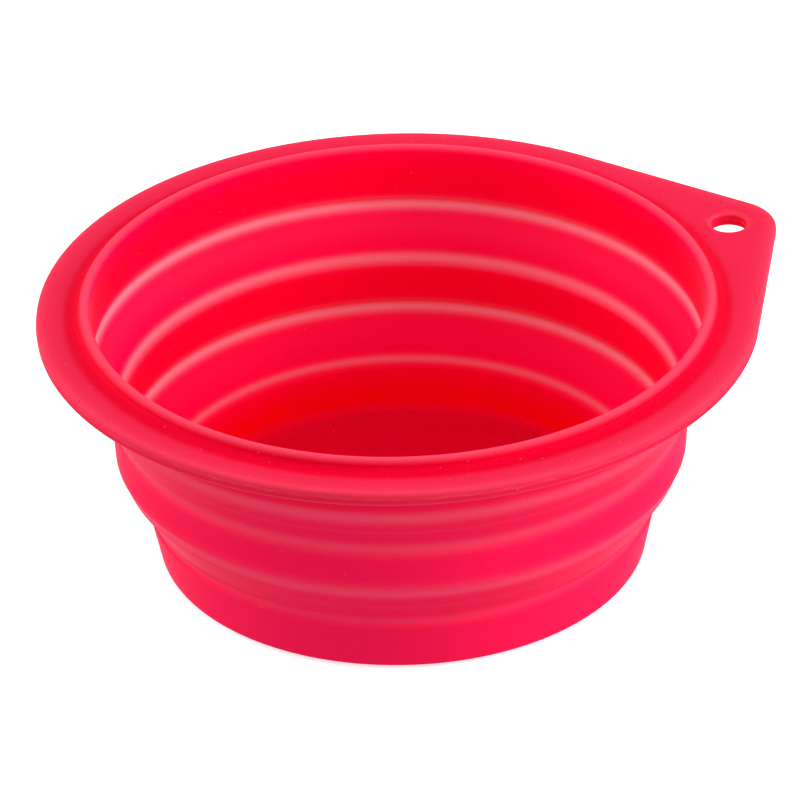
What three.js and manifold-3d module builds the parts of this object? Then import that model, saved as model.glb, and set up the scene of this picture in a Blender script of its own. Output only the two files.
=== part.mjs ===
// Folding silicone travel bowl. Millimetres; the base stands on z = 0, the bowl's axis is +Z
// and the hanging tab points along +X. The real bowl is one moulding: the nodes are its zones.
import * as THREE from "three";
import { mergeVertices } from "three/addons/utils/BufferGeometryUtils.js";
import Module from "manifold-3d";

const wasm = await Module();
wasm.setup();

// Thickness of the base's wall, of the stiff rings above it, and of the webs that turn inside out
const baseThickness = 2.8;
const ringThickness = 2;
const webThickness = 1.4;

// Wall, from the table up: the height of each zone and how far its middle surface flares out
const baseRadius = 42.4; // middle of the wall, carried down to the table
const baseWall = { rise: 11.2, flare: 2.3, thickness: baseThickness };
const lowerWeb = { rise: 8.3, flare: 5.5, thickness: webThickness };
const middleWall = { rise: 10, flare: 0.6, thickness: ringThickness };
const upperWeb = { rise: 8.8, flare: 4.7, thickness: webThickness };
const upperWall = { rise: 7.4, flare: 0.1, thickness: ringThickness }; // up to the underside of the rim flange

// Bends between the zones, where the wall is thinnest
const hingeThickness = 1.2;
const baseHingeThickness = 1.8; // the lowest bend, between the base's wall and the lower web
const bendReach = 1.5; // how far a hinge's bend runs along each of its neighbours
const hingeMargin = 0.1; // straight wall that a hinge node keeps beyond its bend

// Rim flange with its tab, and the lip round the mouth
const flangeThickness = 2.6;
const flangeWidth = 7.6; // beyond the lip
const flangeEdgeRound = 0.7;
const flangeFootRound = 1; // between the flange's underside and the wall
const lipHeight = 2; // above the flange
const lipWidth = 2.2;
const lipFootHeight = 0.8; // cove at the lip's outer foot, up the lip
const lipFootReach = 2.2; // and out along the flange
const tabReach = 10.2; // beyond the rim's circle
const tabCornerRadius = 9.5;
const tabRootGap = 0.3; // between the lip's foot and the plane where the tab's node begins
const holeRadius = 3.3;
const holeInset = 8.5; // from the tab's tip to the middle of the hole
const holeEdgeRound = 0.4;

// Floor
const floorThickness = 2;
const floorCornerRound = 1.4; // between floor and wall, inside
const footRound = 1; // outside, where the bowl meets the table

// Fineness of the curves
const turnSteps = 60;
const bendSteps = 4;
const roundSteps = 3;
const lipSteps = 6;
const tabCornerSteps = 10;
const holeSteps = 24;

const silicone = new THREE.MeshStandardMaterial({ color: 0xd8102c, roughness: 0.55, metalness: 0 });

const point = (r, z) => new THREE.Vector2(r, z);

// The corner points of the wall's middle surface
const wallZones = [baseWall, lowerWeb, middleWall, upperWeb, upperWall];
const corners = [point(baseRadius, 0)];
for (const zone of wallZones) {
  const last = corners.at(-1);
  corners.push(point(last.x + zone.flare, last.y + zone.rise));
}
const hingeHalfHeight = bendReach + hingeMargin;

// Offsets one point of the middle surface to both faces; the tangent runs up the wall
function addFaces(lines, middle, tangent, thickness) {
  const outward = point(tangent.y, -tangent.x).normalize();
  lines.outer.push(middle.clone().addScaledVector(outward, thickness / 2));
  lines.inner.push(middle.clone().addScaledVector(outward, -thickness / 2));
}

// Both faces of the whole wall: straight zones joined by bends that thin down to the hinge thickness
function wallLines() {
  const lines = { outer: [], inner: [] };
  const first = corners[1].clone().sub(corners[0]);
  addFaces(lines, corners[0], first, baseWall.thickness);
  for (let i = 1; i < corners.length - 1; i += 1) {
    const corner = corners[i];
    const thinnest = wallZones[i - 1] === baseWall ? baseHingeThickness : hingeThickness;
    const reach = (to) => to.clone().sub(corner).setLength(bendReach).add(corner);
    const bend = new THREE.QuadraticBezierCurve(reach(corners[i - 1]), corner, reach(corners[i + 1]));
    for (let step = 0; step <= bendSteps; step += 1) {
      const t = step / bendSteps;
      const full = wallZones[t < 0.5 ? i - 1 : i].thickness;
      const fromMiddle = (2 * t - 1) ** 2;
      const thickness = THREE.MathUtils.lerp(thinnest, full, fromMiddle);
      addFaces(lines, bend.getPoint(t), bend.getTangent(t), thickness);
    }
  }
  addFaces(lines, corners.at(-1), corners.at(-1).clone().sub(corners.at(-2)), upperWall.thickness);
  return lines;
}
const wall = wallLines();

// The radius of a face line at a height
function radiusAt(line, z) {
  const above = line.findIndex((p, i) => i > 0 && p.y >= z);
  const i = above < 0 ? line.length - 1 : above;
  const share = (z - line[i - 1].y) / (line[i].y - line[i - 1].y);
  return THREE.MathUtils.lerp(line[i - 1].x, line[i].x, share);
}

// Rim sizes that follow from the wall
const flangeBottom = corners.at(-1).y;
const flangeTop = flangeBottom + flangeThickness;
const bowlHeight = flangeTop + lipHeight;
const mouthRadius = radiusAt(wall.inner, flangeBottom);
const lipOuter = mouthRadius + lipWidth;
const lipFootEdge = lipOuter + lipFootReach;
const flangeRadius = lipOuter + flangeWidth;
const tabTip = flangeRadius + tabReach;
const tabCornerCentre = tabTip - tabCornerRadius;
const holeCentre = tabTip - holeInset;

// The stretch of a face line between two heights, with a point at each end
function stretch(line, low, high) {
  const least = 0.05; // no point closer than this to a cut
  const between = line.filter((p) => p.y > low + least && p.y < high - least);
  return [point(radiusAt(line, low), low), ...between, point(radiusAt(line, high), high)];
}

// Points of a round from one end to the other about a corner that it cuts off or fills
function round(from, corner, to) {
  return new THREE.QuadraticBezierCurve(from, corner, to).getPoints(roundSteps);
}

// Turns a profile, given with its outer side running upwards, about the bowl's axis
function turned(profile, steps = turnSteps) {
  return new THREE.LatheGeometry(profile, steps).rotateX(Math.PI / 2);
}

const parts = new THREE.Group();
function addPart(name, geometry) {
  const mesh = new THREE.Mesh(geometry, silicone);
  mesh.name = name;
  parts.add(mesh);
}

// One zone of the wall, cut level at both ends so that it meets its neighbours face to face
function wallRing(name, low, high) {
  const outer = stretch(wall.outer, low, high);
  const inner = stretch(wall.inner, low, high).reverse();
  addPart(name, turned([...outer, ...inner, outer[0]]));
}

// Floor: a flat disc with a rounded foot
function addFloor() {
  const footEdge = radiusAt(wall.outer, 0);
  const foot = round(
    point(footEdge - footRound, 0),
    point(footEdge, 0),
    point(radiusAt(wall.outer, footRound), footRound),
  );
  const top = point(radiusAt(wall.outer, floorThickness), floorThickness);
  addPart("base_floor", turned([point(0, 0), ...foot, top, point(0, floorThickness)]));
}
addFloor();

// Base wall: stands on the floor, with a cove at its inner foot
function addBaseWall(high) {
  const coveTop = floorThickness + floorCornerRound;
  const insideEdge = radiusAt(wall.inner, floorThickness);
  const cove = round(
    point(radiusAt(wall.inner, coveTop), coveTop),
    point(insideEdge, floorThickness),
    point(insideEdge - floorCornerRound, floorThickness),
  );
  const outer = stretch(wall.outer, floorThickness, high);
  const inner = stretch(wall.inner, coveTop, high).reverse();
  addPart("base_wall", turned([...outer, ...inner, ...cove.slice(1), outer[0]]));
}

// Upper wall: hangs under the flange, with a round where they meet outside
function addUpperWall(low) {
  const side = radiusAt(wall.outer, flangeBottom);
  const shoulderFoot = flangeBottom - flangeFootRound;
  const shoulder = round(
    point(radiusAt(wall.outer, shoulderFoot), shoulderFoot),
    point(side, flangeBottom),
    point(side + flangeFootRound, flangeBottom),
  );
  const outer = [point(radiusAt(wall.outer, low), low), ...shoulder];
  const inner = stretch(wall.inner, low, flangeBottom).reverse();
  addPart("upper_wall", turned([...outer, ...inner, outer[0]]));
}

// Stiff rings and webs, with a hinge at each bend
const [, baseTop, middleBottom, middleTop, upperBottom] = corners.map((p) => p.y);
addBaseWall(baseTop - hingeHalfHeight);
wallRing("lower_web_inner_hinge", baseTop - hingeHalfHeight, baseTop + hingeHalfHeight);
wallRing("lower_web", baseTop + hingeHalfHeight, middleBottom - hingeHalfHeight);
wallRing("lower_web_outer_hinge", middleBottom - hingeHalfHeight, middleBottom + hingeHalfHeight);
wallRing("middle_wall", middleBottom + hingeHalfHeight, middleTop - hingeHalfHeight);
wallRing("upper_web_inner_hinge", middleTop - hingeHalfHeight, middleTop + hingeHalfHeight);
wallRing("upper_web", middleTop + hingeHalfHeight, upperBottom - hingeHalfHeight);
wallRing("upper_web_outer_hinge", upperBottom - hingeHalfHeight, upperBottom + hingeHalfHeight);
addUpperWall(upperBottom + hingeHalfHeight);

// Lip: a half-round bead on the flange, flush with the wall inside
function addLip() {
  const beadRadius = lipWidth / 2;
  const beadCentre = point(mouthRadius + beadRadius, bowlHeight - beadRadius);
  const foot = round(
    point(lipFootEdge, flangeTop),
    point(lipOuter, flangeTop),
    point(lipOuter, flangeTop + lipFootHeight),
  );
  const bead = [];
  for (let step = 0; step <= lipSteps; step += 1) {
    const angle = (Math.PI * step) / lipSteps;
    const across = point(Math.cos(angle), Math.sin(angle)).multiplyScalar(beadRadius);
    bead.push(across.add(beadCentre));
  }
  addPart("mouth_lip", turned([...foot, ...bead, point(mouthRadius, flangeTop), foot[0]]));
}
addLip();

// A closed geometry as a manifold solid, and back
function solidOf(geometry) {
  geometry.deleteAttribute("normal");
  geometry.deleteAttribute("uv");
  const merged = mergeVertices(geometry, 1e-4);
  return new wasm.Manifold(
    new wasm.Mesh({
      numProp: 3,
      vertProperties: new Float32Array(merged.attributes.position.array),
      triVerts: new Uint32Array(merged.index.array),
    }),
  );
}
function geometryOf(solid) {
  const mesh = solid.getMesh();
  const geometry = new THREE.BufferGeometry();
  geometry.setAttribute("position", new THREE.BufferAttribute(mesh.vertProperties, 3));
  geometry.setIndex(new THREE.BufferAttribute(mesh.triVerts, 1));
  return geometry;
}

// Outline of the rim plate: the rim's circle and the tab's corner, joined by their common tangents
function rimOutline() {
  const tangentAngle = Math.acos((flangeRadius - tabCornerRadius) / tabCornerCentre);
  const arc = (centre, radius, from, to, steps) => {
    const at = (step) => from + ((to - from) * step) / steps;
    const along = (angle) => point(centre + radius * Math.cos(angle), radius * Math.sin(angle));
    return Array.from({ length: steps + 1 }, (_, step) => along(at(step)));
  };
  const rimTurn = 2 * Math.PI - tangentAngle;
  const rim = arc(0, flangeRadius, tangentAngle, rimTurn, turnSteps);
  const corner = arc(tabCornerCentre, tabCornerRadius, -tangentAngle, tangentAngle, tabCornerSteps);
  return new THREE.Shape([...rim, ...corner]);
}

// Rim plate with rounded edges, opened for the mouth and the hanging hole, then split at the tab's root
function addRim() {
  const plate = new THREE.ExtrudeGeometry(rimOutline(), {
    depth: flangeThickness - 2 * flangeEdgeRound,
    bevelThickness: flangeEdgeRound,
    bevelSize: flangeEdgeRound,
    bevelOffset: -flangeEdgeRound,
    bevelSegments: roundSteps,
  }).translate(0, 0, flangeBottom + flangeEdgeRound);
  const past = 5; // cutters run this far past the faces they cut
  const low = flangeBottom - past;
  const high = flangeTop + past;
  const mouth = turned([point(0, low), point(mouthRadius, low), point(mouthRadius, high), point(0, high)]);
  const wide = holeRadius + holeEdgeRound;
  const holeProfile = [
    point(0, low),
    point(wide, low),
    point(wide, flangeBottom),
    point(holeRadius, flangeBottom + holeEdgeRound),
    point(holeRadius, flangeTop - holeEdgeRound),
    point(wide, flangeTop),
    point(wide, high),
    point(0, high),
  ];
  const hole = turned(holeProfile, holeSteps).translate(holeCentre, 0, 0);
  const open = solidOf(plate).subtract(solidOf(mouth)).subtract(solidOf(hole));

  const tabRoot = lipFootEdge + tabRootGap;
  const beyond = 2 * flangeRadius;
  const tabSide = new THREE.BoxGeometry(beyond, beyond, beyond).translate(tabRoot + beyond / 2, 0, flangeTop);
  const tabSpace = solidOf(tabSide);
  addPart("rim_flange", geometryOf(open.subtract(tabSpace)));
  addPart("hanging_tab", geometryOf(open.intersect(tabSpace)));
}
addRim();

export default parts;
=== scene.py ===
import math

import bpy
import numpy as np
from mathutils import Matrix, Vector


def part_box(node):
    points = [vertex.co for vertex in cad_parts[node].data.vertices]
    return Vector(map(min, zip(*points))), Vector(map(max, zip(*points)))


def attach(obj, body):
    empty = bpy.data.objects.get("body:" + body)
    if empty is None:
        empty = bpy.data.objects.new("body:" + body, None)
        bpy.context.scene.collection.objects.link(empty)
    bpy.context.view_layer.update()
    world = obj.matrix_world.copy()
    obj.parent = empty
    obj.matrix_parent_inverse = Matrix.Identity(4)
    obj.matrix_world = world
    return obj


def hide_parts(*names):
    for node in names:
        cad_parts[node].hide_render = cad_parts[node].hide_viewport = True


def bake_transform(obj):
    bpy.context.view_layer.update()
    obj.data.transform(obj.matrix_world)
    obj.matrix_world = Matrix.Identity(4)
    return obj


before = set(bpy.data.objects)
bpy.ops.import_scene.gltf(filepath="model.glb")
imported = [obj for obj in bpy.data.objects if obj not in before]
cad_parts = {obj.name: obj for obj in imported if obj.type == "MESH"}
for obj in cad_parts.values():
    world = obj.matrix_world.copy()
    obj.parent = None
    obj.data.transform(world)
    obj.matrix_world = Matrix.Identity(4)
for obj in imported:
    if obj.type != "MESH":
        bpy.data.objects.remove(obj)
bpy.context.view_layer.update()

mm = 0.001
print("frame loaded:", len(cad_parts), "nodes")


# View, floor and light

viewSizes = {
    "tabTurn": 24.12,      # degrees from the camera's right round to the tab, away from the camera
    "elevation": 29.893,
    "distance": 1243.3,    # mm from the middle of the mouth
    "mouthHeight": 50.3,   # mm, top of the lip
    "lens": 315.0,
    "sensor": 36.0,
    "clip": (0.05, 50),    # m, nearest and farthest that is drawn
    "pitch": -0.858,       # degrees, aim above or below the middle of the mouth
    "roll": -1.408,
}


# Camera's ground directions in the part's frame: right, away from the camera, up
def viewAxes():
    turn = Matrix.Rotation(math.radians(-viewSizes["tabTurn"]), 3, "Z")
    return turn @ Vector((1, 0, 0)), turn @ Vector((0, 1, 0)), Vector((0, 0, 1))


def makeCamera():
    right, away, up = viewAxes()
    rise = math.radians(viewSizes["elevation"])
    back = up * math.sin(rise) - away * math.cos(rise)
    target = Vector((0, 0, viewSizes["mouthHeight"] * mm))
    forward = -back
    above = right.cross(forward)
    aim = (forward + math.tan(math.radians(viewSizes["pitch"])) * above).normalized()
    side = aim.cross(above).normalized()
    upright = side.cross(aim)
    roll = math.radians(viewSizes["roll"])
    rolledSide = math.cos(roll) * side + math.sin(roll) * upright
    rolledUp = -math.sin(roll) * side + math.cos(roll) * upright
    cam = bpy.data.objects.new("camera", bpy.data.cameras.new("camera"))
    cam.data.lens = viewSizes["lens"]
    cam.data.sensor_width = viewSizes["sensor"]
    cam.data.clip_start, cam.data.clip_end = viewSizes["clip"]
    pose = Matrix((rolledSide, rolledUp, -aim)).transposed().to_4x4()
    pose.translation = target + back * viewSizes["distance"] * mm
    cam.matrix_world = pose
    bpy.context.collection.objects.link(cam)
    bpy.context.scene.camera = cam


lightSizes = {  # name: (right, away, up) in metres, width, watts
    "leftBox": ((-0.64, 0.16, 0.28), 0.5, 2.7),
    "rightBox": ((0.65, -0.1, 0.25), 0.5, 4.0),
    "frontBox": ((0.0, -0.55, 0.65), 0.5, 0.15),
    "backBox": ((-0.5, 0.5, 0.4), 0.5, 0.15),
    "lowBox": ((0.5, -0.5, 0.12), 0.5, 0.35),
    "topBox": ((0.0, 0.05, 0.85), 0.5, 0.35),
}
skySizes = {"strength": 0.70}
lampAim = 0.03  # m, height of the point on the axis that every lamp faces


def makeLights():
    axes = viewAxes()
    centre = Vector((0, 0, lampAim))
    for name, (place, width, watts) in lightSizes.items():
        lamp = bpy.data.lights.new(name, "AREA")
        lamp.shape, lamp.size, lamp.energy = "DISK", width, watts
        box = bpy.data.objects.new(name, lamp)
        box.location = sum((a * p for a, p in zip(axes, place)), Vector())
        box.rotation_euler = (centre - box.location).to_track_quat("-Z", "Y").to_euler()
        bpy.context.collection.objects.link(box)
    world = bpy.data.worlds.new("studio")
    world.use_nodes = True
    sky = world.node_tree.nodes["Background"]
    sky.inputs["Color"].default_value = (1, 1, 1, 1)
    sky.inputs["Strength"].default_value = skySizes["strength"]
    bpy.context.scene.world = world
    bpy.context.scene.view_settings.view_transform = "Standard"


floorSizes = {  # metres
    "half": 6.0,
    "drop": 0.0003,        # below the table's level, clear of the bowl's underside
    "colour": (0.82, 0.82, 0.82, 1),
    "glow": 0.6,           # lifts the floor to the white of the backdrop
    "roughness": 0.9,
    "gloss": 0.1,
}


def makeFloor():
    half, z = floorSizes["half"], -floorSizes["drop"]
    corners = [(-half, -half, z), (half, -half, z), (half, half, z), (-half, half, z)]
    mesh = bpy.data.meshes.new("floor")
    mesh.from_pydata(corners, [], [(0, 1, 2, 3)])
    floor = bpy.data.objects.new("floor", mesh)
    bpy.context.collection.objects.link(floor)
    mat = bpy.data.materials.new("paleFloor")
    mat.use_nodes = True
    shader = mat.node_tree.nodes["Principled BSDF"]
    shader.inputs["Base Color"].default_value = floorSizes["colour"]
    shader.inputs["Roughness"].default_value = floorSizes["roughness"]
    shader.inputs["Specular IOR Level"].default_value = floorSizes["gloss"]
    shader.inputs["Emission Color"].default_value = (1, 1, 1, 1)
    shader.inputs["Emission Strength"].default_value = floorSizes["glow"]
    mesh.materials.append(mat)
    floor.visible_diffuse = False  # the sky lights the bowl from below instead


makeCamera()
makeLights()
makeFloor()
print("view, light and floor made")


# Silicone finish

def addNode(tree, kind, place, **inputs):
    node = tree.nodes.new(kind)
    node.location = place
    for name, value in inputs.items():
        node.inputs[name.replace("_", " ")].default_value = value
    return node


# Inputs are (name, kind) or (name, kind, default), outputs are (name, kind)
def newGroup(name, inputs, outputs):
    tree = bpy.data.node_groups.new(name, "ShaderNodeTree")
    for socket, kind, *start in inputs:
        made = tree.interface.new_socket(name=socket, in_out="INPUT", socket_type=kind)
        if start:
            made.default_value = start[0]
    for socket, kind in outputs:
        tree.interface.new_socket(name=socket, in_out="OUTPUT", socket_type=kind)
    gate = addNode(tree, "NodeGroupInput", (-900, 0))
    end = addNode(tree, "NodeGroupOutput", (600, 0))
    return tree, gate, end


# A math node; a and b are numbers or sockets
def math2(tree, operation, place, a, b):
    node = tree.nodes.new("ShaderNodeMath")
    node.operation, node.location = operation, place
    for socket, value in zip(node.inputs, (a, b)):
        if isinstance(value, (int, float)):
            socket.default_value = value
        else:
            tree.links.new(value, socket)
    return node.outputs[0]


# Value times gain plus shift, which is a number or another socket
def scaled(tree, place, value, gain, shift, clamp=False):
    out = math2(tree, "MULTIPLY_ADD", place, value, gain)
    out.node.use_clamp = clamp
    if isinstance(shift, float):
        out.node.inputs[2].default_value = shift
    else:
        tree.links.new(shift, out.node.inputs[2])
    return out


dustSizes = {"cells": 800.0, "size": 0.12}  # cells to the metre, a dot's radius as a share of its cell


# Dust: small dots, one to a cell, kept in the share of cells whose random value is under Amount
def dustGroup():
    tree, gate, end = newGroup(
        "siliconeDust",
        [("Vector", "NodeSocketVector"), ("Cells", "NodeSocketFloat", dustSizes["cells"]),
         ("Size", "NodeSocketFloat", dustSizes["size"]), ("Amount", "NodeSocketFloat")],
        [("Mask", "NodeSocketFloat")],
    )
    cells = addNode(tree, "ShaderNodeTexVoronoi", (-600, 0))
    tree.links.new(gate.outputs["Vector"], cells.inputs["Vector"])
    tree.links.new(gate.outputs["Cells"], cells.inputs["Scale"])
    near = math2(tree, "DIVIDE", (-400, 60), cells.outputs["Distance"], gate.outputs["Size"])
    dot = math2(tree, "SUBTRACT", (-220, 60), 1.0, near)
    soft = math2(tree, "MULTIPLY", (-60, 60), dot, 2.0)
    soft.node.use_clamp = True
    pick = addNode(tree, "ShaderNodeSeparateColor", (-400, -160))
    tree.links.new(cells.outputs["Color"], pick.inputs[0])
    kept = math2(tree, "LESS_THAN", (-220, -160), pick.outputs[0], gate.outputs["Amount"])
    level = math2(tree, "MULTIPLY", (100, -120), pick.outputs[1], kept)
    mask = math2(tree, "MULTIPLY", (260, 0), soft, level)
    tree.links.new(mask, end.inputs["Mask"])
    return tree


mottleSizes = {
    "drift": 45.0,         # scales of the two noises
    "tooth": 3200.0,
    "speckFrom": 0.55,     # grain above this shows as specks
    "speckGain": 0.35,
}


# Mottle: slow drift of the tone; Grain: the fine tooth of the mould; Speck: only its peaks
def mottleGroup():
    tree, gate, end = newGroup(
        "siliconeMottle",
        [("Vector", "NodeSocketVector"), ("Drift", "NodeSocketFloat", mottleSizes["drift"]),
         ("Tooth", "NodeSocketFloat", mottleSizes["tooth"])],
        [("Mottle", "NodeSocketFloat"), ("Grain", "NodeSocketFloat"), ("Speck", "NodeSocketFloat")],
    )
    slow = addNode(tree, "ShaderNodeTexNoise", (-600, 160), Detail=3.0, Roughness=0.55)
    fine = addNode(tree, "ShaderNodeTexNoise", (-600, -160), Detail=2.0, Roughness=0.6)
    for noise, scale in ((slow, "Drift"), (fine, "Tooth")):
        tree.links.new(gate.outputs["Vector"], noise.inputs["Vector"])
        tree.links.new(gate.outputs[scale], noise.inputs["Scale"])
    tree.links.new(slow.outputs["Fac"], end.inputs["Mottle"])
    tree.links.new(fine.outputs["Fac"], end.inputs["Grain"])
    peak = math2(tree, "SUBTRACT", (-350, -320), fine.outputs["Fac"], mottleSizes["speckFrom"])
    speck = math2(tree, "MULTIPLY", (-150, -320), peak, mottleSizes["speckGain"])
    speck.node.use_clamp = True
    tree.links.new(speck, end.inputs["Speck"])
    return tree


partingSizes = {
    "level": 0.5,
    "ragged": 600.0,       # scale of the noise that pushes the line up and down
    "push": (1.2, -0.9),   # its gain and shift, mm
    "sharpness": 4.0,      # one over the line's half-width in mm
    "patchy": 170.0,       # scale of the noise that breaks the line
    "breaks": (5.0, -1.9),
}


# Parting line: a thin line where Across is near the line's place, pushed up and down by one noise and
# broken into lengths by another
def partingGroup():
    tree, gate, end = newGroup(
        "siliconeParting",
        [("Vector", "NodeSocketVector"), ("Across", "NodeSocketFloat"),
         ("Level", "NodeSocketFloat", partingSizes["level"])],
        [("Mask", "NodeSocketFloat")],
    )
    ragged = addNode(tree, "ShaderNodeTexNoise", (-650, 150), Detail=3.0, Roughness=0.6,
                     Scale=partingSizes["ragged"])
    patchy = addNode(tree, "ShaderNodeTexNoise", (-650, -150), Detail=1.0, Scale=partingSizes["patchy"])
    for noise in (ragged, patchy):
        tree.links.new(gate.outputs["Vector"], noise.inputs["Vector"])
    push = scaled(tree, (-450, 150), ragged.outputs["Fac"], *partingSizes["push"])
    gap = math2(tree, "ADD", (-280, 150), gate.outputs["Across"], push)
    near = math2(tree, "ABSOLUTE", (-120, 150), gap, 0.0)
    line = scaled(tree, (40, 150), near, -partingSizes["sharpness"], 1.0, clamp=True)
    broken = scaled(tree, (-450, -150), patchy.outputs["Fac"], *partingSizes["breaks"], clamp=True)
    level = math2(tree, "MULTIPLY", (40, -100), broken, gate.outputs["Level"])
    mask = math2(tree, "MULTIPLY", (250, 0), line, level)
    tree.links.new(mask, end.inputs["Mask"])
    return tree


groups = {"dust": dustGroup(), "mottle": mottleGroup(), "parting": partingGroup()}

# Linear colours: tone runs from deep to light with the mottle; thick is painted shade, a deeper red where
# less light reaches; edge is a painted highlight at a rounded edge; dust is the share of cells with a dot
siliconeLooks = {
    "siliconeWall": {
        "deep": (0.95, 0.0, 0.060, 1), "light": (0.985, 0.0, 0.074, 1),
        "thick": (0.99, 0.0, 0.010, 1), "edge": (0.95, 0.07, 0.13, 1), "dust": 0.1,
    },
    # The rim's own copy of the silicone: a darker red, with painted sheen in its green and blue
    "siliconeRimPaintedSheen": {
        "deep": (0.79, 0.013, 0.060, 1), "light": (0.83, 0.019, 0.070, 1),
        "thick": (0.82, 0.0, 0.027, 1), "edge": (0.95, 0.07, 0.13, 1), "dust": 0.45,
    },
    # A shaded copy for the floor inside the bowl: a darker red, painted shade
    "siliconeShadedFloor": {
        "deep": (0.71, 0.0, 0.022, 1), "light": (0.75, 0.0, 0.030, 1),
        "thick": (0.96, 0.0, 0.028, 1), "edge": (0.86, 0.02, 0.05, 1), "dust": 0.05,
    },
}
sharedLook = {
    "paintedLight": (0.92, 0.30, 0.39, 1),  # painted light: pale where light shows through the thin moulding at a bend, and painted sheen outside
    "dustColour": (0.95, 0.13, 0.19, 1),
    "gritColour": (0.30, 0.0, 0.015, 1),
    "grit": {"Cells": 210.0, "Size": 0.045, "Amount": 0.10},
    "roughness": 0.55,
    "roughDrift": 0.12,             # spread of the roughness with the mottle
    "gloss": 0.012,
    "sheen": 0.12,
    "sheenRoughness": 0.25,
    "dustHeight": 1.5,              # against the grain's own height
    "bump": 0.12,
    "bumpDepth": 0.00005,
}
# Painted shade, painted light and painted highlight, mixed over the tone in this order
paintMasks = ("thick", "paintedLight", "edge")
# Masks where a piece doesn't say; across is mm from the middle of the rim's edge
restValues = {"thick": 0, "paintedLight": 0, "edge": 0, "across": 9}


# Sockets 0, 6 and 7 of a colour mix are its factor and its two colours
def mixColour(tree, place, factor, a, b):
    node = tree.nodes.new("ShaderNodeMix")
    node.data_type, node.location = "RGBA", place
    for socket, value in ((node.inputs[0], factor), (node.inputs[6], a), (node.inputs[7], b)):
        if isinstance(value, (int, float, tuple)):
            socket.default_value = value
        else:
            tree.links.new(value, socket)
    return node.outputs[2]


def placeGroup(tree, key, place):
    node = tree.nodes.new("ShaderNodeGroup")
    node.node_tree, node.location = groups[key], place
    return node


def makeSilicone(name, ownLook):
    look = {**sharedLook, **ownLook}
    mat = bpy.data.materials.new(name)
    mat.use_nodes = True
    tree = mat.node_tree
    shader = tree.nodes["Principled BSDF"]
    where = addNode(tree, "ShaderNodeTexCoord", (-1400, 0)).outputs["Object"]
    mottle = placeGroup(tree, "mottle", (-1150, 250))
    dust = placeGroup(tree, "dust", (-1150, -150))
    dust.inputs["Amount"].default_value = look["dust"]
    grit = placeGroup(tree, "dust", (-1150, -1300))
    for key, value in look["grit"].items():
        grit.inputs[key].default_value = value
    for group in (mottle, dust, grit):
        tree.links.new(where, group.inputs["Vector"])
    masks = {}
    for i, key in enumerate(restValues):
        masks[key] = addNode(tree, "ShaderNodeAttribute", (-1150, -400 - 200 * i))
        masks[key].attribute_name = key
    parting = placeGroup(tree, "parting", (-900, -1000))
    tree.links.new(where, parting.inputs["Vector"])
    tree.links.new(masks["across"].outputs["Fac"], parting.inputs["Across"])
    tone = mixColour(tree, (-850, 250), mottle.outputs["Mottle"], look["deep"], look["light"])
    # The masks paint shade, glow and sheen, and highlights over the tone; the parting line then takes the
    # edge colour
    for i, key in enumerate(paintMasks):
        tone = mixColour(tree, (-700 + 170 * i, 200), masks[key].outputs["Fac"], tone, look[key])
    tone = mixColour(tree, (-450, 150), parting.outputs["Mask"], tone, look["edge"])
    tone = mixColour(tree, (-400, 100), mottle.outputs["Speck"], tone, look["dustColour"])
    tone = mixColour(tree, (-350, 100), dust.outputs["Mask"], tone, look["dustColour"])
    tone = mixColour(tree, (-200, 100), grit.outputs["Mask"], tone, look["gritColour"])
    tree.links.new(tone, shader.inputs["Base Color"])
    drift = look["roughDrift"]
    rough = scaled(tree, (-450, -250), mottle.outputs["Mottle"], drift, look["roughness"] - drift / 2)
    tree.links.new(rough, shader.inputs["Roughness"])
    height = scaled(tree, (-450, -450), dust.outputs["Mask"], look["dustHeight"], mottle.outputs["Grain"])
    bump = addNode(tree, "ShaderNodeBump", (-250, -400), Strength=look["bump"], Distance=look["bumpDepth"])
    tree.links.new(height, bump.inputs["Height"])
    tree.links.new(bump.outputs["Normal"], shader.inputs["Normal"])
    shader.inputs["Specular IOR Level"].default_value = look["gloss"]
    shader.inputs["Sheen Weight"].default_value = look["sheen"]
    shader.inputs["Sheen Roughness"].default_value = look["sheenRoughness"]
    return mat


finish = {name: makeSilicone(name, look) for name, look in siliconeLooks.items()}
print("silicone finishes made:", ", ".join(finish))


# Surfaces

sharpAngle = 38  # degrees; an edge that turns further is drawn sharp


# Quads of a grid, wrapped round both ways: corner (i, j) is column i, row j
def ringQuads(columns, rows):
    i, j = np.meshgrid(np.arange(columns), np.arange(rows), indexing="ij")
    ahead, over = (i + 1) % columns, (j + 1) % rows
    corners = [i * rows + j, ahead * rows + j, ahead * rows + over, i * rows + over]
    return np.stack(corners, -1).reshape(-1, 4)


# Puts arrays into a mesh: places in mm, faces as index lists, masks as vertex attributes; faceLooks says
# which of the looks each face has; body is a body's name, or a blend, which is not used: the piece is only
# baked in place
def addPiece(name, places, faces, masks, looks, body, nodes, faceLooks=0):
    mesh = bpy.data.meshes.new(name)
    mesh.from_pydata((np.asarray(places) * mm).tolist(), [], faces)
    mesh.polygons.foreach_set("use_smooth", np.ones(len(mesh.polygons), bool))
    mesh.set_sharp_from_angle(angle=math.radians(sharpAngle))
    for key, rest in restValues.items():
        values = np.zeros(len(places), np.float32) + masks.get(key, rest)
        mesh.attributes.new(key, "FLOAT", "POINT").data.foreach_set("value", values.astype(np.float32))
    for look in looks:
        mesh.materials.append(finish[look])
    mesh.polygons.foreach_set("material_index", np.zeros(len(faces), np.int32) + faceLooks)
    mesh.validate()
    piece = bpy.data.objects.new(name, mesh)
    bpy.context.collection.objects.link(piece)
    if isinstance(body, str):
        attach(piece, body)
    else:
        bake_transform(piece)
    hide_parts(*nodes)


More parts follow.
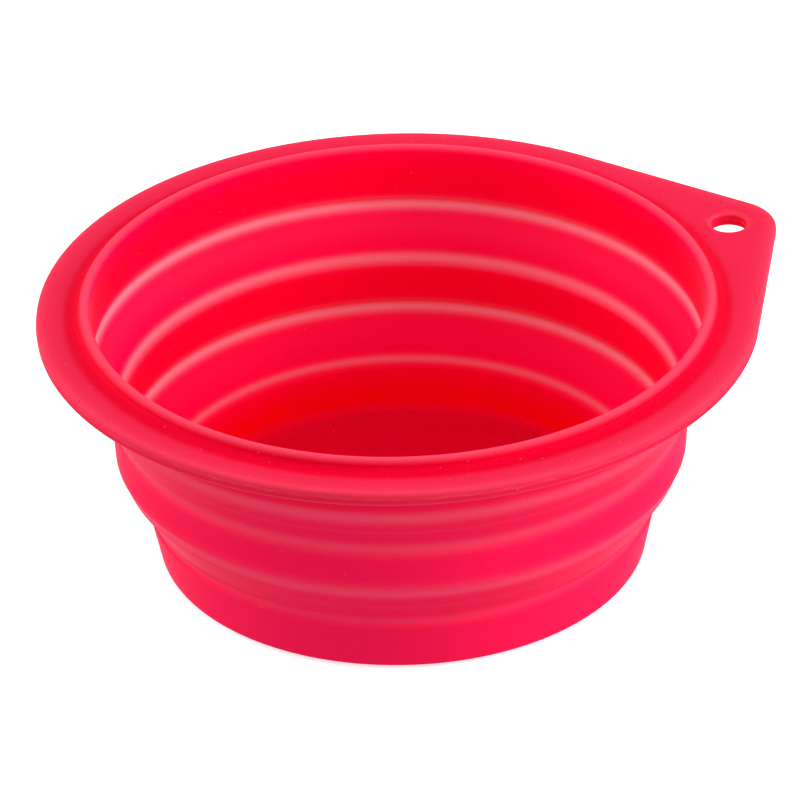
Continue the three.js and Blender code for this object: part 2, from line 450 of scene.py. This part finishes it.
# Surface of revolution: rows of (radius, height), turned about the bowl's axis
def turned(profile, steps):
    angle = np.arange(steps) * 2 * np.pi / steps
    r, z = np.asarray(profile).T
    around = np.stack([np.cos(angle), np.sin(angle)], -1)
    flat = around[:, None, :] * r[None, :, None]
    high = np.broadcast_to(z, (steps, len(z)))[..., None]
    return np.concatenate([flat, high], -1).reshape(-1, 3)


wallSizes = {  # mm; zones are (rise, flare, thickness) of the wall's middle surface, from the table up
    "baseRadius": 42.4,
    "zones": [(11.2, 2.3, 2.8), (8.3, 5.5, 1.4), (10.0, 0.6, 2.0), (8.8, 4.7, 1.4), (7.4, 0.1, 2.0)],
    "hingeThickness": (1.8, 1.2, 1.2, 1.2),
    "bendReach": 1.5,
    "webTuck": 0.3,        # how far a web's ends reach into its bends
    "bendSteps": 24,
    "rows": 36,
    "rowGap": 0.02,        # no even row this close to a row of the curve
    "turnSteps": 360,
    # painted lines of light, glow through the thin bends and broad sheen on the webs: place counted in
    # bends from the lowest, level, half-width above and below in mm
    "innerPaintedLines": (
        (0, 0.48, 0.55, 0.6), (0.6, 0.012, 2.4, 2.4), (1, 0.84, 1.02, 0.85),
        (2, 0.64, 0.78, 1.05), (2.65, 0.03, 1.6, 2.8), (3, 0.79, 1.12, 0.88),
    ),
    "outerPaintedLines": (
        (0, 0.07, 0.93, 1.1), (0.5, 0.024, 0.35, 0.35), (1, 0.14, 1.8, 1.1),
        (2, 0.125, 1.4, 1.4), (2.54, 0.03, 0.35, 0.35), (3, 0.165, 1.35, 1.6),
    ),
    "outerPaintedSheen": 0.021,    # level of the same paint, a painted sheen all over the outside
    "innerPaintedShade": (1.0, 0.0, 0.55, 0.0, 0.6),  # painted shade: how deep the red is inside, where less light reaches, zone by zone from the table up
    "ends": (-2.0, 50.3),  # heights where the painted shade of the lowest and highest zones would end
}


# Middle surface of the wall: straight zones joined by quadratic bends. Each face is the middle moved
# half a thickness along its normal; the thickness falls to the hinge's with the square of the distance
# to the middle of a bend. Each face has a curve of (radius, height) rows, the heights of its bends, its
# painted lines of light, its painted sheen and its painted shade, the depth of red in each zone.
def wallFaces(sizes):
    rise, flare, full = np.array(sizes["zones"]).T
    corner = np.c_[sizes["baseRadius"] + np.r_[0, np.cumsum(flare)], np.r_[0, np.cumsum(rise)]]
    along = np.diff(corner, axis=0)
    along /= np.linalg.norm(along, axis=1)[:, None]
    t = np.linspace(0, 1, sizes["bendSteps"] + 1)[:, None]
    reach = sizes["bendReach"]
    middle, course, thick = [corner[:1]], [along[:1]], [full[:1]]
    for k in range(1, len(corner) - 1):
        hinge = sizes["hingeThickness"][k - 1]
        first, last = corner[k] - along[k - 1] * reach, corner[k] + along[k] * reach
        middle.append((1 - t) ** 2 * first + 2 * t * (1 - t) * corner[k] + t ** 2 * last)
        course.append((1 - t) * along[k - 1] + t * along[k])
        side = np.where(t[:, 0] < 0.5, full[k - 1], full[k])
        away = 2 * t[:, 0] - 1
        thick.append(hinge + (side - hinge) * away ** 2)
    middle.append(corner[-1:])
    course.append(along[-1:])
    thick.append(full[-1:])
    middle, course, thick = np.concatenate(middle), np.concatenate(course), np.concatenate(thick)
    outward = np.c_[course[:, 1], -course[:, 0]] / np.linalg.norm(course, axis=1)[:, None]
    half = thick[:, None] / 2 * outward
    bends = 1 + sizes["bendSteps"] // 2 + np.arange(len(corner) - 2) * (sizes["bendSteps"] + 1)
    outer, inner = middle + half, middle - half
    return (
        {"curve": outer, "bends": outer[bends, 1], "lines": np.array(sizes["outerPaintedLines"]),
         "paintedSheen": sizes["outerPaintedSheen"], "shadeDepths": np.zeros(len(rise))},
        {"curve": inner, "bends": inner[bends, 1], "lines": np.array(sizes["innerPaintedLines"]),
         "paintedSheen": 0.0, "shadeDepths": np.array(sizes["innerPaintedShade"])},
    )


outerFace, innerFace = wallFaces(wallSizes)


def radiusAt(face, z):
    return np.interp(z, face["curve"][:, 1], face["curve"][:, 0])


# Painted shade at a height: each zone's own depth of red, times a half wave that is nothing at the zone's
# ends
def shadeAt(face, z):
    shadeDepths = face["shadeDepths"]
    low, high = wallSizes["ends"]
    limits = np.r_[low, face["bends"], high]
    zone = np.clip(np.searchsorted(limits, z) - 1, 0, len(shadeDepths) - 1)
    share = (z - limits[zone]) / np.diff(limits)[zone]
    return shadeDepths[zone] * np.sin(np.pi * np.clip(share, 0, 1))


# Part of a face between two heights, low to high, as (radius, height, thin, thick) rows: painted light and
# painted shade. The thin mask is the face's painted sheen plus a bell over the height for each painted
# line, with its own width above and below.
def faceBetween(face, low, high):
    bends, clear = face["bends"], wallSizes["rowGap"]
    own = face["curve"][:, 1]
    own = own[(own > low + clear) & (own < high - clear)]
    even = np.linspace(low, high, wallSizes["rows"])
    close = np.abs(even[:, None] - own[None, :]).min(1, initial=1.0) < clear
    z = np.sort(np.r_[even[~close], own])
    place, level, above, below = face["lines"].T
    gap = z[:, None] - np.interp(place, np.arange(len(bends)), bends)
    paintedLight = face["paintedSheen"] + (level * np.exp(-(gap / np.where(gap > 0, above, below)) ** 2)).sum(1)
    return np.c_[radiusAt(face, z), z, paintedLight, shadeAt(face, z)]


def nodeHeights(node):
    low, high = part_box(node)
    return low[2] / mm, high[2] / mm


# A turned piece from its outer rows (low to high) and its inner rows (high to low)
def addTurned(name, outer, inner, looks, body, nodes, edge=None, rowLooks=None):
    loop = np.concatenate([outer, inner])
    steps = wallSizes["turnSteps"]
    masks = {"paintedLight": np.tile(loop[:, 2], steps), "thick": np.tile(loop[:, 3], steps)}
    if edge is not None:
        masks["edge"] = np.tile(edge, steps)
    quads = ringQuads(steps, len(loop))
    faceLooks = 0 if rowLooks is None else np.tile(rowLooks, steps)
    addPiece(name, turned(loop[:, :2], steps), quads.tolist(), masks, looks, body, nodes, faceLooks)


# A zone of the wall, cut level at both ends. With a tuck, a narrower step at each end goes into the
# neighbour, so that the neighbour's end closes the bend when the zone folds away from it.
def addWallRing(node, body, tuck=0.0):
    low, high = nodeHeights(node)
    outer = faceBetween(outerFace, low, high)
    inner = faceBetween(innerFace, low, high)[::-1]
    if tuck:
        outer = np.concatenate([outer[:1] + [-tuck, -tuck, 0, 0], outer, outer[-1:] + [-tuck, tuck, 0, 0]])
        inner = np.concatenate([inner[:1] + [tuck, tuck, 0, 0], inner, inner[-1:] + [tuck, -tuck, 0, 0]])
    addTurned(node + "_skin", outer, inner, ["siliconeWall"], body, [node])


# Quarter round from one point to another about the corner between them, as (radius, height, 0, 0) rows
def quarter(start, corner, stop, steps=10):
    t = np.linspace(0, 1, steps + 1)[:, None]
    start, corner, stop = (np.array(p, float) for p in (start, corner, stop))
    bulge = math.sqrt(2)  # weight that makes the curve a circle's quarter
    weight = (1 - t) ** 2 + bulge * t * (1 - t) + t ** 2
    points = ((1 - t) ** 2 * start + bulge * t * (1 - t) * corner + t ** 2 * stop) / weight
    return np.c_[points, np.zeros((len(points), 2))]


# A web's blend: its lower body with its foot and its upper body with its top, as two bodies and two heights
def webBlend(node, lowBody, highBody):
    low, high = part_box(node)
    return lowBody, highBody, (0, 0, low[2]), (0, 0, high[2])


for hinge, body in (("lower_web_inner_hinge", "base"), ("lower_web_outer_hinge", "middle"),
                    ("upper_web_inner_hinge", "middle"), ("upper_web_outer_hinge", "rim")):
    addWallRing(hinge, body)
addWallRing("middle_wall", "middle")
addWallRing("lower_web", webBlend("lower_web", "base", "middle"), wallSizes["webTuck"])
addWallRing("upper_web", webBlend("upper_web", "middle", "rim"), wallSizes["webTuck"])
print("middle wall, webs and hinges made")


baseWallSizes = {
    "cove": 1.4,           # mm
    "coveShadeFade": 1.5,       # power of the fade of the painted shade's deep red down the cove
}


# Base wall: on the floor, its inner foot flared into a cove that meets the floor level
def addBaseWall():
    low, high = nodeHeights("base_wall")
    cove = baseWallSizes["cove"]
    inside = radiusAt(innerFace, low)
    outer = faceBetween(outerFace, low, high)
    inner = faceBetween(innerFace, low + cove, high)[::-1]
    toe = quarter(inner[-1, :2], (inside, low), (inside - cove, low))[1:]
    # painted shade: deeper red at the top of the cove, fading down it
    toe[:, 3] = np.linspace(1, 0, len(toe)) ** baseWallSizes["coveShadeFade"]
    inner = np.concatenate([inner, toe])
    rows = len(outer) + len(inner)
    # the cove's faces take the shaded floor copy
    onCove = np.arange(rows) >= rows - len(toe) - 1
    addTurned("base_wall_skin", outer, inner, ["siliconeWall", "siliconeShadedFloor"], "base", ["base_wall"],
              rowLooks=onCove.astype(np.int32))


baseFloorSizes = {
    "footRound": 1.0,      # mm
    "spokes": (0.08, 0.3, 0.6, 0.85),  # shares of the radius with a ring of corners
}


# Floor: a disc with a rounded foot; rings of quads, closed at both poles by a fan
def addFloor():
    low, high = nodeHeights("base_floor")
    foot = baseFloorSizes["footRound"]
    edge = radiusAt(outerFace, low)
    side = radiusAt(outerFace, low + foot)
    topEdge = radiusAt(outerFace, high)
    spokes = np.array(baseFloorSizes["spokes"])
    noMasks = np.zeros((len(spokes), 2))
    under = np.c_[spokes * (edge - foot), np.full(len(spokes), low), noMasks]
    over = np.c_[spokes[::-1] * topEdge, np.full(len(spokes), high), noMasks]
    footCurve = quarter((edge - foot, low), (edge, low), (side, low + foot))
    rows = np.concatenate([under, footCurve, [[topEdge, high, 0, 0]], over])
    steps, count = wallSizes["turnSteps"], len(rows)
    places = np.concatenate([turned(rows[:, :2], steps), [[0, 0, low], [0, 0, high]]])
    quads = ringQuads(steps, count).reshape(steps, count, 4)[:, :-1].reshape(-1, 4)
    i = np.arange(steps)
    ahead = (i + 1) % steps
    underFan = np.c_[ahead * count, i * count, np.full(steps, steps * count)]
    overFan = np.c_[i * count + count - 1, ahead * count + count - 1, np.full(steps, steps * count + 1)]
    faces = quads.tolist() + underFan.tolist() + overFan.tolist()
    topRow = len(under) + len(footCurve)
    # the top faces take the shaded floor copy
    isTop = np.arange(count - 1) >= topRow
    faceLooks = np.r_[np.tile(isTop, steps), np.zeros(steps, bool), np.ones(steps, bool)].astype(np.int32)
    # painted sheen on the outside and underneath, none on the floor's top
    paintedSheen = np.where(np.arange(count) <= topRow, wallSizes["outerPaintedSheen"], 0)
    masks = {"paintedLight": np.r_[np.tile(paintedSheen, steps), wallSizes["outerPaintedSheen"], 0]}
    addPiece("base_floor_skin", places, faces, masks, ["siliconeWall", "siliconeShadedFloor"], "base",
             ["base_floor"], faceLooks)


addBaseWall()
addFloor()
print("base made")


upperWallSizes = {"shoulder": 1.0}  # mm, round under the flange
mouthRadius = radiusAt(innerFace, nodeHeights("upper_wall")[1])


# Upper wall: straight, with a round out to the flange's underside
def addUpperWall():
    low, high = nodeHeights("upper_wall")
    shoulder = upperWallSizes["shoulder"]
    side = radiusAt(outerFace, high)
    turn = quarter((side, high - shoulder), (side, high), (side + shoulder, high))
    # painted sheen on the shoulder, as on the rest of the outside
    turn[:, 2] = wallSizes["outerPaintedSheen"]
    outer = np.concatenate([faceBetween(outerFace, low, high - shoulder)[:-1], turn])
    inner = faceBetween(innerFace, low, high)[::-1]
    addTurned("upper_wall_skin", outer, inner, ["siliconeWall"], "rim", ["upper_wall"])


lipSizes = {  # mm
    "width": 2.2,
    "foot": (2.2, 0.8),      # cove at its outer foot: out and up
    "footShadeFade": (3.9, 5.8),  # out from the mouth, where the painted shade at the foot starts to fade and ends
    "crownRows": 33,
    "crestHighlight": (0.8, 2.2),     # painted highlight along the top: level, and the power of its fade
}


# Painted shade across the top of the rim: deeper red, full at the lip's foot, gone a few millimetres out
def footShade(radius):
    full, gone = (mouthRadius + out for out in lipSizes["footShadeFade"])
    fade = np.clip((radius - full) / (gone - full), 0, 1)
    return 1 - fade * fade * (3 - 2 * fade)


# Lip: a half-round bead with a small cove at its outer foot
def addLip():
    low, high = nodeHeights("mouth_lip")
    bead, (footOut, footUp) = lipSizes["width"] / 2, lipSizes["foot"]
    outside = mouthRadius + 2 * bead
    cove = quarter((outside + footOut, low), (outside, low), (outside, low + footUp))
    # painted shade: deeper red in the cove at the lip's foot
    cove[:, 3] = footShade(cove[:, 0])
    rows = lipSizes["crownRows"]
    angle = np.linspace(0, np.pi, rows)
    rise = high - bead * (1 - np.sin(angle))
    # painted shade: deeper red down the bead's outer side, and the wall's own painted shade on its mouth
    # side
    thick = np.where(angle < np.pi / 2, np.cos(angle) ** 2, shadeAt(innerFace, rise))
    crown = np.c_[mouthRadius + bead * (1 + np.cos(angle)), rise, np.zeros(rows), thick]
    outer = np.concatenate([cove, crown])
    inner = np.array([[mouthRadius, low, 0, shadeAt(innerFace, low)]])
    # painted highlight along the crest
    level, power = lipSizes["crestHighlight"]
    edge = np.r_[np.zeros(len(cove)), level * np.maximum(np.sin(angle), 0) ** power, 0]
    inMouth = np.arange(len(edge)) >= len(cove) + rows // 2
    addTurned("mouth_lip_skin", outer, inner, ["siliconeRimPaintedSheen", "siliconeWall"], "rim", ["mouth_lip"],
              edge, inMouth.astype(np.int32))


rimSizes = {  # mm
    "tabReach": 10.2,
    "cornerRadius": 9.5,
    "edgeRound": 0.7,
    "arcFrom": 75,         # degrees up the edge's round, where its rows start
    "arcRows": 11,
    "sideRows": 27,
    "ridge": 0.06,         # parting line round the edge
    "ridgeWidth": 0.12,
    "flatRows": 41,
    "denseHalf": 8.0,      # degrees each side of the tab's middle with close columns
    "denseStep": 0.25,
    "step": 0.75,
    "edgeHighlight": (0.75, 1.2, 0.5),    # painted highlight along the edge: level, reach across the top, reach down the side
    "lowHighlight": (0.45, 0.25, 0.22),  # painted highlight of light bounced from below, low on the side: level, height, half-width
    "sideShade": (0.35, -0.35, 0.3),  # painted shade, deeper red on the side: level, height from the middle, half-width
}
holeSizes = {  # mm
    "radius": 3.3,
    "inset": 8.5,          # from the tab's tip to the middle of the hole
    "round": 0.5,
    "windowColumns": (15, 49),  # of the plate, where the hole's rings take over
    "windowRows": (14, 35),
    "closingRows": 7,
    "roundRows": 9,
    "finRows": 13,
    "fin": 0.2,            # flash left half way down the hole
    "finWidth": 0.16,
    "tornWaves": ((1.0, 2, 0.9), (0.6, 5, 2), (0.4, 11, 0)),  # level, waves round the hole, turn
    "flatHighlight": 0.3,       # painted highlight on the flat by the hole, with a fade of this power
    "highlightFade": 4,
    "roundHighlight": 0.5,      # painted highlight on the rounds and the flash
    "flatLean": 0.8,       # radians of the upper round that get at least the flat's painted highlight
    "depth": 0.7,          # painted shade, deeper red inside the hole
}


# Outline of the rim at each angle about the bowl: the rim's circle and the tab's corner circle joined by
# their common tangents. Gives the spoke, the point and the outward normal.
def rimOutline(angle, radius):
    turn = np.abs((angle + np.pi) % (2 * np.pi) - np.pi)
    corner = rimSizes["cornerRadius"]
    centre = radius + rimSizes["tabReach"] - corner
    tangent = math.acos((radius - corner) / centre)
    joinAngle = math.atan2(corner * math.sin(tangent), centre + corner * math.cos(tangent))
    onLine = radius / np.cos(np.clip(tangent - turn, 0, tangent))
    onCorner = centre * np.cos(turn) + np.sqrt(np.maximum(corner ** 2 - (centre * np.sin(turn)) ** 2, 0))
    reach = np.select([turn >= tangent, turn >= joinAngle], [radius, onLine], onCorner)
    spoke = np.c_[np.cos(angle), np.sin(angle)]
    outline = spoke * reach[:, None]
    sign = np.where(angle > np.pi, -1, 1) * np.where(angle < 0, -1, 1)
    cornerTurn = np.arctan2(np.abs(outline[:, 1]), outline[:, 0] - centre)
    facing = sign * np.select([turn >= tangent, turn >= joinAngle], [turn, tangent], cornerTurn)
    return spoke, outline, np.c_[np.cos(facing), np.sin(facing)]


# Rows of the rim's side: height from its middle, and distance inside the outline. Both rounds are circles,
# and the parting ridge is a bell over the height.
def sideRows(half):
    bevel, ridge = rimSizes["edgeRound"], rimSizes["ridge"]
    lean = np.radians(np.linspace(rimSizes["arcFrom"], 0, rimSizes["arcRows"]))
    arc = half - bevel + bevel * np.sin(lean)
    straight = np.linspace(half - bevel, bevel - half, rimSizes["sideRows"])[1:-1]
    height = np.r_[arc, straight, -arc[::-1]]
    beyond = np.maximum(np.abs(height) - (half - bevel), 0)
    inset = ridge + bevel - np.sqrt(np.maximum(bevel ** 2 - beyond ** 2, 0))
    return height, inset - ridge * np.exp(-(height / rimSizes["ridgeWidth"]) ** 2)


# Masks of the plate: edge, a painted highlight, falls off across the top and down the side, with a bell
# over the height low on the side for light bounced from below; thick, painted shade, is the lip's foot on
# top, a bell on the side, and the wall's own painted shade in the mouth
def plateMasks(plan, rowHeight, toEdge, onSide, low, top):
    middle = (top + low) / 2
    level, topFade, sideFade = rimSizes["edgeHighlight"]
    edge = level * np.exp(-np.maximum(toEdge, 0) / topFade - (top - rowHeight) / sideFade)
    level, place, width = rimSizes["lowHighlight"]
    edge += level * np.exp(-((rowHeight - low - place) / width) ** 2) * onSide
    thick = footShade(np.linalg.norm(plan, axis=-1)) * (rowHeight > middle)
    level, place, width = rimSizes["sideShade"]
    thick += level * np.exp(-((rowHeight - middle - place) / width) ** 2) * onSide
    thick[:, [0, -1]] = shadeAt(innerFace, rowHeight[[0, -1]])
    across = np.where(onSide > 0, rowHeight - middle, restValues["across"])
    return {"edge": edge, "thick": thick, "across": np.broadcast_to(across, edge.shape)}


# One value for each ring, the same all round it
def evenRings(values, count):
    return np.repeat(values[:, None], count, 1)


# Rings from a loop on top of the tab in to the hole, through it and out to the loop below, with their
# masks. The flash is a bell over the height times a sum of waves round the hole, where that is above 0.
def holeRings(loop, hole, low, top):
    radius, bevel = holeSizes["radius"], holeSizes["round"]
    half, middle = (top - low) / 2, (top + low) / 2
    out = loop - hole
    distance = np.linalg.norm(out, axis=1)
    out = out / distance[:, None]
    count = len(out)
    share = np.linspace(0, 1, holeSizes["closingRows"] + 2)[1:-1, None]
    closing = distance * (1 - share) + (radius + bevel) * share
    lean = np.radians(np.linspace(0, 90, holeSizes["roundRows"]))
    rounded = radius + bevel * (1 - np.sin(lean))
    drop = bevel * (1 - np.cos(lean))
    around = np.arctan2(out[:, 1], out[:, 0])
    waves = sum(level * np.sin(number * around + turn) for level, number, turn in holeSizes["tornWaves"])
    torn = np.maximum(waves, 0)
    inHole = np.linspace(1, -1, holeSizes["finRows"] + 2)[1:-1] * (half - bevel)
    bell = np.exp(-(inHole / holeSizes["finWidth"]) ** 2)[:, None]
    fin = radius - holeSizes["fin"] * bell * torn
    upper, lower = evenRings(rounded, count), evenRings(rounded[::-1], count)
    ringRadius = np.concatenate([closing, upper, fin, lower, closing[::-1]])
    flatTop, flatLow = np.full(len(share), top), np.full(len(share), low)
    height = np.r_[flatTop, top - drop, middle + inHole, (low + drop)[::-1], flatLow]
    plan = hole + ringRadius[..., None] * out[None]
    places = np.concatenate([plan, evenRings(height, count)[..., None]], -1)

    # Painted highlight on the flat by the hole, on its rounds and on the flash
    onFlat = holeSizes["flatHighlight"] * share[:, 0] ** holeSizes["highlightFade"]
    onRound = holeSizes["roundHighlight"] * np.sin(2 * lean)
    onUpper = np.maximum(onRound, holeSizes["flatHighlight"] * (lean < holeSizes["flatLean"]))
    onFin = holeSizes["roundHighlight"] * bell * np.minimum(torn, 1)
    above, below = np.r_[onFlat, onUpper], np.r_[onFlat, onRound][::-1]
    edge = np.concatenate([evenRings(above, count), onFin, evenRings(below, count)])
    # painted shade inside the hole
    thick = np.zeros(edge.shape)
    thick[len(above):-len(below)] = holeSizes["depth"]
    return places, {"edge": edge, "thick": thick, "across": np.full(edge.shape, restValues["across"])}


# Rim plate: for each angle about the bowl, rows run from the mouth across the top to the edge, round it,
# and back underneath. A window in the rows on the tab is filled by rings that close in on the hanging hole.
def addRimPlate():
    low, top = nodeHeights("rim_flange")
    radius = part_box("rim_flange")[1][1] / mm
    dense, fine, step = rimSizes["denseHalf"], rimSizes["denseStep"], rimSizes["step"]
    near = np.arange(-dense, dense + fine / 2, fine)
    angle = np.radians(np.r_[near, np.arange(dense + step, 360 - dense, step)])
    spoke, outline, normal = rimOutline(angle, radius)
    sideHeight, inset = sideRows((top - low) / 2)

    flat = np.linspace(0, 1, rimSizes["flatRows"])
    start = spoke * mouthRadius
    stop = outline - (rimSizes["edgeRound"] + rimSizes["ridge"]) * normal
    flatPlan = start[:, None] + flat[None, :, None] * (stop - start)[:, None]
    sidePlan = outline[:, None] - inset[None, :, None] * normal[:, None]
    plan = np.concatenate([flatPlan, sidePlan, flatPlan[:, ::-1]], 1)
    rowHeight = np.r_[np.full(len(flat), top), (top + low) / 2 + sideHeight, np.full(len(flat), low)]
    columns, rows = plan.shape[:2]
    grid = np.concatenate([plan, np.broadcast_to(rowHeight, (columns, rows))[..., None]], -1)
    places = grid.reshape(-1, 3)
    toEdge = ((outline[:, None] - plan) * normal[:, None]).sum(-1)
    onSide = np.r_[np.zeros(len(flat)), np.ones(len(sideHeight)), np.zeros(len(flat))]
    plateMask = plateMasks(plan, rowHeight, toEdge, onSide, low, top)

    # Window on top and below, and the loops of corners round it
    (i0, i1), (j0, j1) = holeSizes["windowColumns"], holeSizes["windowRows"]
    loopI = np.r_[np.arange(i0, i1), np.full(j1 - j0, i1), np.arange(i1, i0, -1), np.full(j1 - j0, i0)]
    loopJ = np.r_[np.full(i1 - i0, j0), np.arange(j0, j1), np.full(i1 - i0, j1), np.arange(j1, j0, -1)]
    topLoop = loopI * rows + loopJ
    lowLoop = loopI * rows + (rows - 1 - loopJ)
    keep = np.ones((columns, rows), bool)
    keep[i0:i1, j0:j1] = False
    keep[i0:i1, rows - 1 - j1:rows - 1 - j0] = False
    plateQuads = ringQuads(columns, rows).reshape(columns, rows, 4)[keep]

    hole = np.array([radius + rimSizes["tabReach"] - holeSizes["inset"], 0])
    ringPlaces, ringMask = holeRings(places[topLoop, :2], hole, low, top)
    rings, count = ringPlaces.shape[:2]
    ringIndex = len(places) + np.arange(rings * count).reshape(rings, count)
    ringIndex = np.concatenate([topLoop[None], ringIndex, lowLoop[None]])
    here, beyond = ringIndex[:-1], ringIndex[1:]
    holeQuads = np.stack([here, np.roll(here, -1, 1), np.roll(beyond, -1, 1), beyond], -1).reshape(-1, 4)

    inMouth = np.broadcast_to(np.arange(rows) == rows - 1, (columns, rows))[keep]
    faceLooks = np.r_[inMouth, np.zeros(len(holeQuads), bool)].astype(np.int32)
    masks = {key: np.r_[plateMask[key].ravel(), ringMask[key].ravel()] for key in plateMask}
    addPiece("rim_plate_skin", np.concatenate([places, ringPlaces.reshape(-1, 3)]),
             plateQuads.tolist() + holeQuads.tolist(), masks, ["siliconeRimPaintedSheen", "siliconeWall"], "rim",
             ["rim_flange", "hanging_tab"], faceLooks)


addUpperWall()
addLip()
addRimPlate()
print("rim made")
